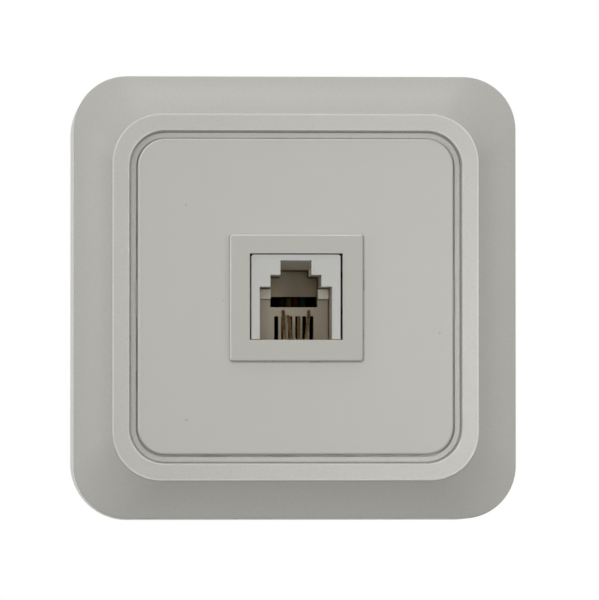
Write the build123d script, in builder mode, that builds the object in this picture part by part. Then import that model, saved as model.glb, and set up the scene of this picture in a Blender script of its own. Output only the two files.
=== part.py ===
from build123d import *
from math import cos, radians, sin, tan
import os

os.makedirs("parts", exist_ok=True)

# Telephone wall socket for surface mounting. A square frame carries a snap-in centre panel, and in the
# panel's window sits a six-position modular jack, wired to four screw terminals on the base.
# Millimetres, +Z up. The wall is the plane Y = 0 and the front faces -Y, so each depth below is a
# distance out from the wall. The origin is midway between the two wall screws, on the wall.

# Whole socket
socket_depth = 22.0  # wall to the face of the raised surround
shell_wall = 1.6  # wall of the frame's moulding
insert_rise = 0.1  # panel and jack sit this much above the frame's centre

# Centre panel
panel_size = 45.3
panel_corner = 3.95
panel_round = 0.3  # front edge
panel_face_wall = 1.8
panel_edge_length = 3.2  # the edge wall runs back this far from the face
panel_edge_wall = 1.0
panel_gap = 0.15  # all round, between panel and frame
boss_width = 19.1  # raised surround of the window
boss_height = 18.15
boss_corner = 0.45
boss_proud = 0.8
boss_round = 0.2
boss_drop = 0.18  # the surround sits this much below the panel's centre
window_shift = 0.04  # surround and window sit this much to the right of the jack
window_width = 13.27
window_height = 12.35
window_drop = 0.05
window_round = 0.08

# Snap hooks behind the panel, two on each side
hook_width = 6.0
hook_spacing = 22.0
hook_wall = 1.2
hook_catch = 0.5  # reach of the nose under the frame's lip
hook_lead_in = 1.5  # sloping end of the nose
hook_play = 0.1

# Frame
ledge_width = 0.8
ledge_drop = 1.8  # rim face to ledge
lip_thickness = 1.6  # ledge moulding that the hooks grip
ledge_round = 0.08  # edge of the ledge towards the panel
seat_width = 0.6  # the panel's seat stands this far into the opening
seat_drop = 0.5  # ledge to that seat
seat_play = 0.1  # between the panel's rim and its seat
inner_draft = 8.0  # degrees, wall between rim and ledge
notch_length = 5.4  # shallow pry notches in the ledge, left and right
notch_depth = 0.13
rim_proud = 0.5  # rim face above panel face
rim_width = 2.5
rim_corner = 6.95
rim_round = 0.25
rim_inner_round = 0.12
rim_step = 0.3  # upright outer wall of the rim, above the cove
flange_width = 5.45
flange_corner = 7.6
flange_round = 0.2
cove_start_slope = 18.0  # degrees, at the flange's outer edge
cove_end_slope = 42.0  # degrees, at the foot of the rim
cove_steps = 4
skirt_draft = 2.2  # degrees
collar_wall = 1.9  # wall under the ledge, which carries the lugs
knockout_width = 9.0  # thinned place for a surface cable, inside the bottom wall
knockout_depth = 6.0
knockout_skin = 0.6

# Screws that hold the frame to the base, hidden by the panel
cover_screw_inset = 5.15  # inside the panel's edge
cover_screw_length = 10.0
cover_shank_radius = 1.25
cover_head_radius = 2.6
cover_hole_play = 0.15
lug_radius = 4.2
lug_thickness = 2.0
lug_drop = 2.4  # lug face below the ledge
pillar_radius = 3.4
pillar_bore_play = 0.05
pillar_bore_spare = 1.0
slot_width = 0.8  # screwdriver slots
slot_depth = 0.7

# Base plate
floor_thickness = 2.0
base_gap = 0.35  # all round, inside the skirt
wall_screw_inset = 4.65  # inside the panel's edge, so that the panel's gap shows no hole
wall_slot_length = 8.0
wall_slot_width = 4.2
wall_slot_seat_margin = 1.8
wall_slot_seat_depth = 0.6
cable_entry_width = 12.0
cable_entry_height = 6.0
cable_entry_corner = 1.5
cable_entry_outset = 3.35  # centre below the panel's lower edge
relief_width = 20.0  # shallow pockets in the back, between the bearing pads
relief_height = 11.0
relief_corner = 2.0
relief_depth = 0.6
relief_spacing_x = 26.0
relief_spacing_z = 34.0

# Modular jack, heights measured from the panel's centre
jack_width = 12.8
jack_recess = 0.25  # jack face behind the face of the surround
jack_top_gap = 0.13  # to the window
jack_bottom_gap = 0.06
jack_corner = 0.38
jack_round = 0.08
jack_panel_play = 0.2  # between the rear block and the back of the panel
mouth_length = 8.5  # face to comb
mouth_draft = 0.6  # degrees
mouth_width = 10.32
mouth_ceiling = 1.36
step_width = 7.28
step_ceiling = 3.04
latch_width = 4.42
latch_ceiling = 5.14
latch_length = 5.5  # the keyway's ceiling slopes down over this depth
latch_back_ceiling = 3.95  # and stays at this height behind it
housing_floor = -7.6
housing_floor_wall = 1.1
seat_height = 2.0  # jack seat above the base plate
seat_bar = 1.1
snap_width = 6.0
snap_wall = 1.2
snap_play = 0.15
snap_catch = 0.4
snap_nose_depth = 2.2  # foot of the nose above the seat
snap_nose_length = 1.5

# Contact carrier inside the housing
carrier_play = 0.1
comb_thickness = 1.5
comb_slots = 6
comb_pitch = 1.016
comb_slot_width = 0.56
comb_slot_top = -2.73
gap_bottom = -1.42  # dark gap above the comb
gap_top = 0.1
stop_forward = 2.0  # stop blocks in front of the comb
stop_bottom = -0.27
stop_inner = 3.4
recess_back = 2.0  # upper wall behind the comb's face
recess_wall = 1.5
tongue_top = -6.3
tongue_thickness = 0.7
tongue_reach = 4.65  # from the comb to the tongue's front edge
tongue_slot_margin = 0.45

# Spring contacts: round wire under the tongue, round its front edge and up towards the comb
wire_radius = 0.23
wire_front = 0.6  # wire's upright run in front of the tongue
wire_bottom_play = 0.07
wire_knee = -6.35  # where the front run turns back towards the comb
wire_joint = -5.9  # where the back run meets its lead
wire_bend = 0.6
wire_tip = 0.7  # bent tip of the free end
wire_stand_off = 0.3  # free ends in front of the comb
contact_1_lean = 0.03  # sideways, from the knee to the tip's bend
contact_2_lean = -0.2
contact_3_lean = 0.15
contact_4_lean = 0.6
contact_1_curl = -0.06  # sideways, along the tip
contact_2_curl = -0.13
contact_3_curl = 0.07
contact_4_curl = 0.05
outer_tip_height = -2.0
contact_2_tip_height = -2.72
contact_3_tip_height = -2.9

# Insulated leads from the contacts to the terminals
lead_radius = 0.45
lead_bend = 1.6
lead_outer_bend = 2.2
lead_floor_play = 0.3
lead_forward = 0.585  # share of the room from the base to the carrier's upper wall
bend_limit = 0.45  # largest bend, as a share of the run beside it
outer_lead_height = 3.3  # where the two outer leads turn back
inner_lead_height = 1.9
lead_side_run = 8.4  # the leads leave the housing's back this far to each side
lead_low_run = 2.2  # and the inner two this far below the jack's centre
lead_rise_gap = 1.6  # last bend before the barrel

# Screw terminals
terminal_spacing_x = 35.0
terminal_spacing_z = 22.0
post_width = 7.0
post_height = 7.6
post_depth = 5.0  # above the base plate
cheek_wall = 0.8
cheek_depth = 2.2
post_bore_depth = 3.6
thread_play = 0.05
plate_width = 6.4
plate_play = 0.1
plate_thickness = 0.8
fork_width = 5.2
fork_thickness = 0.5
fork_slot_play = 0.15
barrel_radius = 0.95
barrel_play = 0.04
barrel_length = 3.0
washer_size = 5.6
washer_thickness = 0.8
terminal_shank_radius = 1.45
terminal_screw_length = 5.4
terminal_head_radius = 2.75
terminal_head_height = 1.9
terminal_head_round = 0.5

# Depths and outlines that follow from those sizes
panel_face = socket_depth - boss_proud
panel_back = panel_face - panel_edge_length
rim_face = panel_face + rim_proud
ledge_face = rim_face - ledge_drop
lip_back = ledge_face - lip_thickness
panel_seat = ledge_face - seat_drop
panel_rim_back = panel_seat + seat_play
lug_face = ledge_face - lug_drop
lug_back = lug_face - lug_thickness
cover_screw_spacing = panel_size - 2 * cover_screw_inset
wall_screw_spacing = panel_size - 2 * wall_screw_inset
cable_entry_drop = panel_size / 2 + cable_entry_outset
opening_size = panel_size + 2 * panel_gap
opening_corner = panel_corner + panel_gap
throat_size = opening_size - 2 * seat_width
throat_corner = opening_corner - seat_width
collar_size = throat_size - 2 * panel_gap
collar_corner = throat_corner - panel_gap
ledge_size = opening_size + 2 * ledge_width
ledge_corner = opening_corner + ledge_width
inner_inset = ledge_drop * tan(radians(inner_draft))
rim_inner_size = ledge_size + 2 * inner_inset
rim_inner_corner = ledge_corner + inner_inset
rim_size = rim_inner_size + 2 * rim_width
flange_size = rim_size + 2 * flange_width
cove_start = radians(cove_start_slope)
cove_end = radians(cove_end_slope)
cove_radius = flange_width / (sin(cove_end) - sin(cove_start))
cove_rise = cove_radius * (cos(cove_start) - cos(cove_end))
flange_depth = rim_face - rim_step - cove_rise
skirt_flare = flange_depth * tan(radians(skirt_draft))
wall_size = flange_size + 2 * skirt_flare
wall_corner = flange_corner + skirt_flare
seat_depth = floor_thickness + seat_height
jack_face = socket_depth - jack_recess
jack_top = window_height / 2 - window_drop - jack_top_gap
nose_bottom = -window_height / 2 - window_drop + jack_bottom_gap
block_front = panel_face - panel_face_wall - jack_panel_play
block_bottom = housing_floor - housing_floor_wall
comb_face = jack_face - mouth_length
mouth_taper = mouth_length * tan(radians(mouth_draft))
recess_face = comb_face - recess_back
bore_width = mouth_width - 2 * mouth_taper
bore_ceiling = mouth_ceiling - mouth_taper
step_bore_width = step_width - 2 * mouth_taper
step_bore_ceiling = step_ceiling - mouth_taper
latch_bore_width = latch_width - 2 * mouth_taper
carrier_width = bore_width - 2 * carrier_play
carrier_height = bore_ceiling - carrier_play - tongue_top
tongue_bottom = tongue_top - tongue_thickness
tongue_edge = comb_face + tongue_reach
wire_bottom = housing_floor + wire_bottom_play + wire_radius
wire_upright = tongue_edge + wire_front
lead_floor = floor_thickness + lead_floor_play + lead_radius
lead_run_back = lead_forward * (recess_face - recess_wall - lead_floor)
lead_depth = lead_floor + lead_run_back
lead_turn_bend = min(lead_bend, bend_limit * lead_run_back)
post_face = floor_thickness + post_depth
plate_face = post_face + plate_thickness
fork_face = plate_face + fork_thickness
washer_face = fork_face + washer_thickness
barrel_depth = plate_face + barrel_radius
plate_height = post_height - 2 * cheek_wall - 2 * plate_play
barrel_start = plate_width / 2


def front(depth, height=0.0):
    """A plane parallel to the wall, this far in front of it, facing the viewer."""
    return Plane(origin=(0, -depth, height), x_dir=(1, 0, 0), z_dir=(0, -1, 0))


def place(across, depth, height):
    """A point in the jack's own terms: height is measured from the panel's centre."""
    return (across, -depth, height + insert_rise)


def cove_outline(step):
    """Size, corner radius and depth of one outline of the cove, from flange edge to rim."""
    share = step / cove_steps
    slope = cove_start + (cove_end - cove_start) * share
    run = cove_radius * (sin(slope) - sin(cove_start))
    rise = cove_radius * (cos(cove_start) - cos(slope))
    corner = flange_corner + (rim_corner - flange_corner) * share
    return flange_size - 2 * run, corner, flange_depth + rise


# Frame: skirt with draft, cove lofted through outlines on an arc, and the rim on top
with BuildPart() as cover_frame:
    with BuildSketch(front(0)):
        RectangleRounded(wall_size, wall_size, wall_corner)
    with BuildSketch(front(flange_depth)):
        RectangleRounded(flange_size, flange_size, flange_corner)
    loft(ruled=True)
    for cove_step in range(cove_steps + 1):
        cove_size, cove_corner, cove_depth = cove_outline(cove_step)
        with BuildSketch(front(cove_depth)):
            RectangleRounded(cove_size, cove_size, cove_corner)
    loft()
    with BuildSketch(front(rim_face - rim_step)):
        RectangleRounded(rim_size, rim_size, rim_corner)
    extrude(amount=rim_step)
    fillet(cover_frame.edges().group_by(Axis.Y)[0], rim_round)
    flange_edges = cover_frame.edges().filter_by_position(Axis.Y, -flange_depth, -flange_depth)
    fillet(flange_edges, flange_round)

    # Hollow: the same skirt and cove, one wall further in
    with BuildSketch(front(0)):
        RectangleRounded(wall_size - 2 * shell_wall, wall_size - 2 * shell_wall, wall_corner - shell_wall)
    with BuildSketch(front(flange_depth - shell_wall)):
        RectangleRounded(flange_size - 2 * shell_wall, flange_size - 2 * shell_wall, flange_corner - shell_wall)
    loft(ruled=True, mode=Mode.SUBTRACT)
    for cove_step in range(cove_steps + 1):
        cove_size, cove_corner, cove_depth = cove_outline(cove_step)
        with BuildSketch(front(cove_depth - shell_wall)):
            RectangleRounded(cove_size - 2 * shell_wall, cove_size - 2 * shell_wall, cove_corner - shell_wall)
    loft(mode=Mode.SUBTRACT)

    # Collar under the ledge, with the two lugs for the cover screws
    with BuildSketch(front(lug_back)):
        RectangleRounded(
            opening_size + 2 * collar_wall, opening_size + 2 * collar_wall, opening_corner + collar_wall
        )
    extrude(amount=ledge_face - lug_back)
    with BuildSketch(front(lug_back)):
        RectangleRounded(opening_size, opening_size, opening_corner)
        lug_run = (opening_size + collar_wall) / 2 - cover_screw_spacing / 2
        for side in (1, -1):
            with Locations((0, side * cover_screw_spacing / 2)):
                Circle(lug_radius, mode=Mode.SUBTRACT)
            with Locations((0, side * (cover_screw_spacing / 2 + lug_run / 2))):
                Rectangle(2 * lug_radius, lug_run, mode=Mode.SUBTRACT)
    extrude(amount=lug_thickness, mode=Mode.SUBTRACT)
    with BuildSketch(front(lug_face)):
        RectangleRounded(opening_size, opening_size, opening_corner)
    extrude(amount=lip_back - lug_face, mode=Mode.SUBTRACT)

    # Opening through the lip: a throat for the panel's collar, and above it the seat for the panel's rim
    with BuildSketch(front(lip_back)):
        RectangleRounded(throat_size, throat_size, throat_corner)
    extrude(amount=panel_seat - lip_back, mode=Mode.SUBTRACT)
    with BuildSketch(front(panel_seat)):
        RectangleRounded(opening_size, opening_size, opening_corner)
    extrude(amount=rim_face - panel_seat, mode=Mode.SUBTRACT)
    with Locations(front(lug_face)):
        with Locations((0, cover_screw_spacing / 2), (0, -cover_screw_spacing / 2)):
            CounterSinkHole(
                radius=cover_shank_radius + cover_hole_play,
                counter_sink_radius=cover_head_radius + cover_hole_play,
                counter_sink_angle=90,
            )

    # Drafted wall down from the rim to the ledge, and the pry notches
    with BuildSketch(front(rim_face)):
        RectangleRounded(rim_inner_size, rim_inner_size, rim_inner_corner)
    extrude(amount=-ledge_drop, taper=inner_draft, mode=Mode.SUBTRACT)
    inner_rim_edges = cover_frame.faces().sort_by(Axis.Y)[0].inner_wires()[0].edges()
    fillet(inner_rim_edges, rim_inner_round)
    ledge = cover_frame.faces().filter_by_position(Axis.Y, -ledge_face, -ledge_face)[0]
    fillet(ledge.inner_wires()[0].edges(), ledge_round)
    with BuildSketch(front(ledge_face)):
        Rectangle(opening_size + 2 * notch_depth, notch_length)
    extrude(amount=-seat_drop, mode=Mode.SUBTRACT)

    # Windows in the collar for the snap hooks
    with BuildSketch(front(lug_back)):
        with GridLocations(opening_size + collar_wall, hook_spacing, 2, 2):
            Rectangle(collar_wall + 2 * hook_play, hook_width + 2 * panel_gap)
    extrude(amount=lip_back - lug_back, mode=Mode.SUBTRACT)

    # Thinned place in the bottom wall, to be broken out for a surface cable
    with BuildSketch(front(0)):
        with Locations((0, -wall_size / 2 + knockout_skin)):
            Rectangle(knockout_width, 2 * shell_wall, align=(Align.CENTER, Align.MIN))
    extrude(amount=knockout_depth, mode=Mode.SUBTRACT)
cover_frame.part.label = "cover_frame"
export_step(cover_frame.part, "parts/cover_frame.step")

# Centre panel: plate with a collar behind it, the raised surround, its window and four hooks
with BuildPart() as centre_panel:
    with BuildSketch(front(panel_back, insert_rise)):
        RectangleRounded(collar_size, collar_size, collar_corner)
    extrude(amount=panel_rim_back - panel_back)
    with BuildSketch(front(panel_rim_back, insert_rise)):
        RectangleRounded(panel_size, panel_size, panel_corner)
    extrude(amount=panel_face - panel_rim_back)
    fillet(centre_panel.edges().group_by(Axis.Y)[0], panel_round)
    with BuildSketch(front(panel_face, insert_rise)):
        with Locations((window_shift, -boss_drop)):
            RectangleRounded(boss_width, boss_height, boss_corner)
    extrude(amount=boss_proud)
    fillet(centre_panel.edges().group_by(Axis.Y)[0], boss_round)
    panel_hollow = collar_size - 2 * panel_edge_wall
    with BuildSketch(front(panel_back, insert_rise)):
        RectangleRounded(panel_hollow, panel_hollow, collar_corner - panel_edge_wall)
    extrude(amount=panel_edge_length - panel_face_wall, mode=Mode.SUBTRACT)
    with BuildSketch(front(socket_depth, insert_rise)):
        with Locations((window_shift, -window_drop)):
            Rectangle(window_width, window_height)
    extrude(amount=-boss_proud - panel_face_wall, mode=Mode.SUBTRACT)
    window_edges = centre_panel.faces().sort_by(Axis.Y)[0].inner_wires()[0].edges()
    fillet(window_edges, window_round)

    # Each hook is an arm at the collar's edge with a nose that points outwards
    for hook_height in (hook_spacing / 2, -hook_spacing / 2):
        with BuildSketch(Plane.XY.offset(hook_height)):
            arm = collar_size / 2
            nose = throat_size / 2 + hook_catch
            nose_face = lip_back - hook_play
            with BuildLine():
                Polyline(
                    (arm - hook_wall, -panel_back - hook_play),
                    (arm, -nose_face),
                    (nose, -nose_face),
                    (nose, -nose_face + hook_play),
                    (arm, -nose_face + hook_play + hook_lead_in),
                    (arm - hook_wall, -nose_face + hook_play + hook_lead_in),
                    close=True,
                )
            make_face()
            mirror(about=Plane.YZ)
        extrude(amount=hook_width / 2, both=True)
centre_panel.part.label = "centre_panel"
export_step(centre_panel.part, "parts/centre_panel.step")

# Jack housing: rear block with a foot behind the panel, and a nose that fills the window
with BuildPart() as jack_housing:
    with BuildSketch(front(seat_depth, insert_rise)):
        with Locations((0, block_bottom)):
            Rectangle(jack_width, jack_top - block_bottom, align=(Align.CENTER, Align.MIN))
    extrude(amount=block_front - seat_depth)
    with BuildSketch(front(block_front, insert_rise)):
        with Locations((0, nose_bottom)):
            Rectangle(jack_width, jack_top - nose_bottom, align=(Align.CENTER, Align.MIN))
    extrude(amount=jack_face - block_front)
    fillet(jack_housing.edges().filter_by(Axis.Y).group_by(Axis.Z)[-1], jack_corner)

    # Stepped mouth with draft, then the straight bore behind it for the carrier
    with BuildSketch(front(jack_face, insert_rise)):
        with Locations((0, tongue_bottom)):
            Rectangle(mouth_width, mouth_ceiling - tongue_bottom, align=(Align.CENTER, Align.MIN))
            Rectangle(step_width, step_ceiling - tongue_bottom, align=(Align.CENTER, Align.MIN))
    extrude(amount=-mouth_length, taper=mouth_draft, mode=Mode.SUBTRACT)
    with BuildSketch(Plane.YZ):
        with BuildLine():
            Polyline(
                (-jack_face, insert_rise),
                (-jack_face, latch_ceiling + insert_rise),
                (-jack_face + latch_length, latch_back_ceiling + insert_rise),
                (-jack_face + latch_length, insert_rise),
                close=True,
            )
        make_face()
    extrude(amount=latch_width / 2, both=True, mode=Mode.SUBTRACT)
    with BuildSketch(front(seat_depth, insert_rise)):
        Rectangle(latch_bore_width, latch_back_ceiling, align=(Align.CENTER, Align.MIN))
    extrude(amount=jack_face - latch_length - seat_depth, mode=Mode.SUBTRACT)
    with BuildSketch(front(seat_depth, insert_rise)):
        with Locations((0, housing_floor)):
            Rectangle(bore_width, bore_ceiling - housing_floor, align=(Align.CENTER, Align.MIN))
            Rectangle(step_bore_width, step_bore_ceiling - housing_floor, align=(Align.CENTER, Align.MIN))
    extrude(amount=comb_face - seat_depth, mode=Mode.SUBTRACT)
    with BuildSketch(front(comb_face, insert_rise)):
        with Locations((0, housing_floor)):
            Rectangle(bore_width, tongue_top - housing_floor, align=(Align.CENTER, Align.MIN))
    extrude(amount=block_front - comb_face, mode=Mode.SUBTRACT)
    fillet(jack_housing.edges().group_by(Axis.Y)[0], jack_round)

    # Notches in the top and bottom for the base's snap arms
    with BuildSketch(front(seat_depth + snap_nose_depth - snap_play, insert_rise)):
        for notch_edge in (jack_top, block_bottom):
            with Locations((0, notch_edge)):
                Rectangle(snap_width + 2 * snap_play, 2 * snap_catch + 2 * snap_play)
    extrude(amount=snap_nose_length + 2 * snap_play, mode=Mode.SUBTRACT)
jack_housing.part.label = "jack_housing"
export_step(jack_housing.part, "parts/jack_housing.step")

# Contact carrier: a box open at the back, whose front wall is the comb
with BuildPart() as contact_carrier:
    with BuildSketch(front(seat_depth, insert_rise)):
        with Locations((0, tongue_top)):
            Rectangle(carrier_width, carrier_height, align=(Align.CENTER, Align.MIN))
            Rectangle(2 * stop_inner, carrier_height, mode=Mode.SUBTRACT, align=(Align.CENTER, Align.MIN))
    extrude(amount=comb_face - seat_depth)
    with BuildSketch(front(comb_face - comb_thickness, insert_rise)):
        with Locations((0, tongue_top)):
            Rectangle(carrier_width, gap_bottom - tongue_top, align=(Align.CENTER, Align.MIN))
    extrude(amount=comb_thickness)
    with BuildSketch(front(comb_face, insert_rise)):
        with GridLocations(stop_inner + carrier_width / 2, 0, 2, 1):
            with Locations((0, stop_bottom)):
                Rectangle(
                    carrier_width / 2 - stop_inner,
                    bore_ceiling - carrier_play - stop_bottom,
                    align=(Align.CENTER, Align.MIN),
                )
    extrude(amount=stop_forward)

    # Upper wall, set back, and the tongue that the contacts wrap round
    with BuildSketch(front(recess_face - recess_wall, insert_rise)):
        with Locations((0, gap_top)):
            Rectangle(2 * stop_inner, bore_ceiling - carrier_play - gap_top, align=(Align.CENTER, Align.MIN))
            Rectangle(
                step_bore_width - 2 * carrier_play,
                step_bore_ceiling - carrier_play - gap_top,
                align=(Align.CENTER, Align.MIN),
            )
            Rectangle(
                latch_bore_width - 2 * carrier_play,
                latch_back_ceiling - carrier_play - gap_top,
                align=(Align.CENTER, Align.MIN),
            )
    extrude(amount=recess_wall)
    with BuildSketch(front(seat_depth, insert_rise)):
        with Locations((0, tongue_bottom)):
            Rectangle(carrier_width, tongue_thickness, align=(Align.CENTER, Align.MIN))
    extrude(amount=tongue_edge - seat_depth)

    # Comb slots, and the slot in the tongue that the contacts rise through
    with BuildSketch(front(comb_face, insert_rise)):
        with Locations((0, comb_slot_top)):
            with GridLocations(comb_pitch, 0, comb_slots, 1):
                Rectangle(comb_slot_width, comb_slot_top - tongue_top, align=(Align.CENTER, Align.MAX))
    extrude(amount=-comb_thickness, mode=Mode.SUBTRACT)
    with BuildSketch(front(lead_depth - tongue_slot_margin, insert_rise)):
        with Locations((0, tongue_bottom)):
            Rectangle(
                (comb_slots - 2) * comb_pitch,
                tongue_thickness,
                align=(Align.CENTER, Align.MIN),
            )
    extrude(amount=2 * tongue_slot_margin, mode=Mode.SUBTRACT)
contact_carrier.part.label = "contact_carrier"
export_step(contact_carrier.part, "parts/contact_carrier.step")


def round_wire(points, bends, radius):
    """A round wire along straight runs joined by tangent arcs."""
    with BuildPart() as wire:
        with BuildLine() as route:
            FilletPolyline(*points, radius=bends)
        with BuildSketch(Plane(route.line @ 0, z_dir=route.line % 0)):
            Circle(radius)
        sweep()
    return wire.part


# Four spring contacts, each in its place across, with its own lean, tip and height
contact_places = [(number - 1.5) * comb_pitch for number in range(4)]
contact_leans = (contact_1_lean, contact_2_lean, contact_3_lean, contact_4_lean)
contact_curls = (contact_1_curl, contact_2_curl, contact_3_curl, contact_4_curl)
tip_heights = (outer_tip_height, contact_2_tip_height, contact_3_tip_height, outer_tip_height)
for number in range(4):
    across = contact_places[number]
    bend_across = across + contact_leans[number]
    contact_points = [
        place(across, lead_depth, wire_joint),
        place(across, lead_depth, wire_bottom),
        place(across, wire_upright, wire_bottom),
        place(across, wire_upright, wire_knee),
        place(bend_across, comb_face + wire_stand_off + wire_tip, tip_heights[number] - wire_tip),
        place(bend_across + contact_curls[number], comb_face + wire_stand_off, tip_heights[number]),
    ]
    contact = round_wire(contact_points, [wire_bend] * 4, wire_radius)
    contact.label = f"contact_{number + 1}"
    export_step(contact, f"parts/contact_{number + 1}.step")

# Four leads, each from its contact up behind the gap, out through the back and over to a terminal
lead_routes = {
    "black": (contact_places[0], -1, 1, outer_lead_height),
    "yellow": (contact_places[1], -1, -1, inner_lead_height),
    "red": (contact_places[2], 1, -1, inner_lead_height),
    "green": (contact_places[3], 1, 1, outer_lead_height),
}
for colour, (across, side, level, turn_height) in lead_routes.items():
    terminal_across = side * terminal_spacing_x / 2
    terminal_height = level * terminal_spacing_z / 2
    low_height = turn_height if level > 0 else -lead_low_run
    barrel_across = terminal_across - side * (barrel_start + barrel_length)
    lead_points = [
        place(across, lead_depth, wire_joint),
        place(across, lead_depth, turn_height),
        place(across, lead_floor, turn_height),
        place(side * lead_side_run, lead_floor, low_height),
        (barrel_across - side * lead_rise_gap, -barrel_depth, terminal_height),
        (terminal_across - side * barrel_start, -barrel_depth, terminal_height),
    ]
    lead_bends = [lead_turn_bend, lead_turn_bend, lead_outer_bend, lead_outer_bend]
    lead = round_wire(lead_points, lead_bends, lead_radius)
    lead.label = f"lead_{colour}"
    export_step(lead, f"parts/lead_{colour}.step")

    # Fork end: a slotted tongue under the washer, and the barrel crimped round the lead
    with BuildPart() as spade:
        with BuildSketch(front(plate_face, terminal_height)):
            with Locations((terminal_across, 0)):
                Rectangle(2 * barrel_start, fork_width)
                Circle(terminal_shank_radius + fork_slot_play, mode=Mode.SUBTRACT)
            with Locations((terminal_across + side * barrel_start / 2, 0)):
                Rectangle(
                    barrel_start, 2 * terminal_shank_radius + 2 * fork_slot_play, mode=Mode.SUBTRACT
                )
        extrude(amount=fork_thickness)
        barrel_plane = Plane(
            origin=(terminal_across - side * barrel_start, -barrel_depth, terminal_height),
            z_dir=(-side, 0, 0),
        )
        with BuildSketch(barrel_plane):
            Circle(barrel_radius)
            Circle(lead_radius + barrel_play, mode=Mode.SUBTRACT)
        extrude(amount=barrel_length)
    spade.part.label = f"spade_{colour}"
    export_step(spade.part, f"parts/spade_{colour}.step")

# Base: plate with the pillars, the jack's seat and snap arms, and the terminal posts
base_size = wall_size - 2 * shell_wall - 2 * base_gap
terminal_places = GridLocations(terminal_spacing_x, terminal_spacing_z, 2, 2)
with BuildPart() as base:
    with BuildSketch(front(0)):
        RectangleRounded(base_size, base_size, wall_corner - shell_wall - base_gap)
    extrude(amount=floor_thickness)
    with BuildSketch(front(floor_thickness)):
        with GridLocations(0, cover_screw_spacing, 1, 2):
            Circle(pillar_radius)
    extrude(amount=lug_back - floor_thickness)
    with BuildSketch(front(lug_back)):
        with GridLocations(0, cover_screw_spacing, 1, 2):
            Circle(cover_shank_radius + pillar_bore_play)
    extrude(amount=lug_thickness - cover_screw_length - pillar_bore_spare, mode=Mode.SUBTRACT)

    # Two bars that the jack housing's back rests on
    with BuildSketch(front(floor_thickness, insert_rise)):
        with Locations((0, jack_top)):
            Rectangle(jack_width, seat_bar, align=(Align.CENTER, Align.MAX))
        with Locations((0, block_bottom)):
            Rectangle(jack_width, seat_bar, align=(Align.CENTER, Align.MIN))
    extrude(amount=seat_height)

    # Snap arms above and below the housing, drawn from the side
    nose_foot = seat_depth + snap_nose_depth
    arm_end = nose_foot + snap_nose_length
    with BuildSketch(Plane.YZ):
        for arm_edge, outwards in ((jack_top + insert_rise, 1), (block_bottom + insert_rise, -1)):
            arm_inside = arm_edge + outwards * snap_play
            arm_outside = arm_inside + outwards * snap_wall
            with BuildLine():
                Polyline(
                    (-floor_thickness, arm_inside),
                    (-nose_foot, arm_inside),
                    (-nose_foot, arm_edge - outwards * snap_catch),
                    (-arm_end, arm_inside),
                    (-arm_end, arm_outside),
                    (-floor_thickness, arm_outside),
                    close=True,
                )
            make_face()
    extrude(amount=snap_width / 2, both=True)

    # Terminal posts, each with two cheeks that keep its plate and washer from turning
    with BuildSketch(front(floor_thickness)):
        with Locations(*terminal_places):
            Rectangle(post_width, post_height)
    extrude(amount=post_depth)
    with BuildSketch(front(post_face)):
        with Locations(*terminal_places):
            Rectangle(post_width, post_height)
            Rectangle(post_width, post_height - 2 * cheek_wall, mode=Mode.SUBTRACT)
    extrude(amount=cheek_depth)
    with BuildSketch(front(post_face)):
        with Locations(*terminal_places):
            Circle(terminal_shank_radius + thread_play)
    extrude(amount=-post_bore_depth, mode=Mode.SUBTRACT)

    # Slots for the wall screws, each in a shallow seat, the cable entry and the pockets in the back
    with BuildSketch(front(0)):
        with GridLocations(wall_screw_spacing, 0, 2, 1):
            SlotOverall(wall_slot_length, wall_slot_width)
        with Locations((0, -cable_entry_drop)):
            RectangleRounded(cable_entry_width, cable_entry_height, cable_entry_corner)
    extrude(amount=floor_thickness, mode=Mode.SUBTRACT)
    with BuildSketch(front(floor_thickness)):
        with GridLocations(wall_screw_spacing, 0, 2, 1):
            SlotOverall(wall_slot_length + 2 * wall_slot_seat_margin, wall_slot_width + 2 * wall_slot_seat_margin)
    extrude(amount=-wall_slot_seat_depth, mode=Mode.SUBTRACT)
    with BuildSketch(front(0)):
        with GridLocations(relief_spacing_x, relief_spacing_z, 2, 2):
            RectangleRounded(relief_width, relief_height, relief_corner)
    extrude(amount=relief_depth, mode=Mode.SUBTRACT)
base.part.label = "base"
export_step(base.part, "parts/base.step")

# Threaded plates on the posts
for number, spot in enumerate(terminal_places, start=1):
    with BuildPart() as terminal_plate:
        with BuildSketch(front(post_face)):
            with Locations(spot):
                Rectangle(plate_width, plate_height)
                Circle(terminal_shank_radius + thread_play, mode=Mode.SUBTRACT)
        extrude(amount=plate_thickness)
    terminal_plate.part.label = f"terminal_plate_{number}"
    export_step(terminal_plate.part, f"parts/terminal_plate_{number}.step")

# Square clamp washers, one on each fork
with BuildPart() as terminal_washers:
    with BuildSketch(front(fork_face)):
        with Locations(*terminal_places):
            Rectangle(washer_size, washer_size)
            Circle(terminal_shank_radius + fork_slot_play, mode=Mode.SUBTRACT)
    extrude(amount=washer_thickness)
terminal_washers.part.label = "terminal_washers"
export_step(terminal_washers.part, "parts/terminal_washers.step")

# Terminal screws with slotted cheese heads
with BuildPart() as terminal_screws:
    with BuildSketch(front(washer_face)):
        with Locations(*terminal_places):
            Circle(terminal_head_radius)
    extrude(amount=terminal_head_height)
    fillet(terminal_screws.edges().group_by(Axis.Y)[0], terminal_head_round)
    with BuildSketch(front(washer_face)):
        with Locations(*terminal_places):
            Circle(terminal_shank_radius)
    extrude(amount=-terminal_screw_length)
    with BuildSketch(front(washer_face + terminal_head_height)):
        with Locations(*terminal_places):
            Rectangle(2 * terminal_head_radius, slot_width)
    extrude(amount=-slot_depth, mode=Mode.SUBTRACT)
terminal_screws.part.label = "terminal_screws"
export_step(terminal_screws.part, "parts/terminal_screws.step")

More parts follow.
